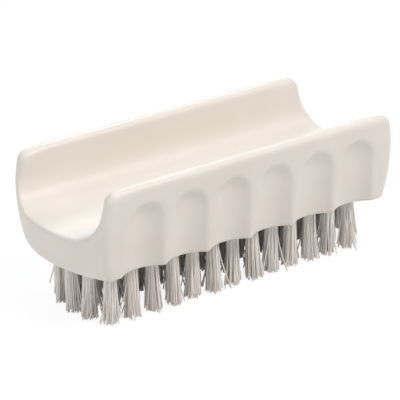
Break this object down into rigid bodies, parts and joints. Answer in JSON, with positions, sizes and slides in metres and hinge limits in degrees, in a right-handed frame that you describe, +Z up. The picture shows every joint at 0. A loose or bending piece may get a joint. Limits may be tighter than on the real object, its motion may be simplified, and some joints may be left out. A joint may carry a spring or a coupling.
{
  "type": "nail brush",
  "caption": "Oblong nail brush: a white plastic block with a deep hand trough, finger flutes along both sides and bulged ends, set with rows of stiff bristle tufts below",
  "frame": {"origin": "On the plane of the bristle tips, under the middle of the block: the middle of the bounding box's bottom.", "axes": "+X along the length of the block, +Y across it, +Z up from the bristles to the hand trough."},
  "size_m": [0.1264, 0.052, 0.0475],
  "materials": {
    "white_plastic": "satin moulded polypropylene, warm white",
    "bristle": "stiff translucent polyester filament, off-white",
    "staple_wire": "flat stainless wire"
  },
  "bodies": {
    "root": {"handle_block": "white_plastic", "tuft_column_01": "bristle", "tuft_column_02": "bristle", "tuft_column_03": "bristle", "tuft_column_04": "bristle", "tuft_column_05": "bristle", "tuft_column_06": "bristle", "tuft_column_07": "bristle", "tuft_column_08": "bristle", "tuft_column_09": "bristle", "tuft_column_10": "bristle", "tuft_column_11": "bristle", "tuft_column_12": "bristle", "tuft_column_13": "bristle", "tuft_column_14": "bristle", "staple_column_01": "staple_wire", "staple_column_02": "staple_wire", "staple_column_03": "staple_wire", "staple_column_04": "staple_wire", "staple_column_05": "staple_wire", "staple_column_06": "staple_wire", "staple_column_07": "staple_wire", "staple_column_08": "staple_wire", "staple_column_09": "staple_wire", "staple_column_10": "staple_wire", "staple_column_11": "staple_wire", "staple_column_12": "staple_wire", "staple_column_13": "staple_wire", "staple_column_14": "staple_wire"}
  },
  "joints": []
}
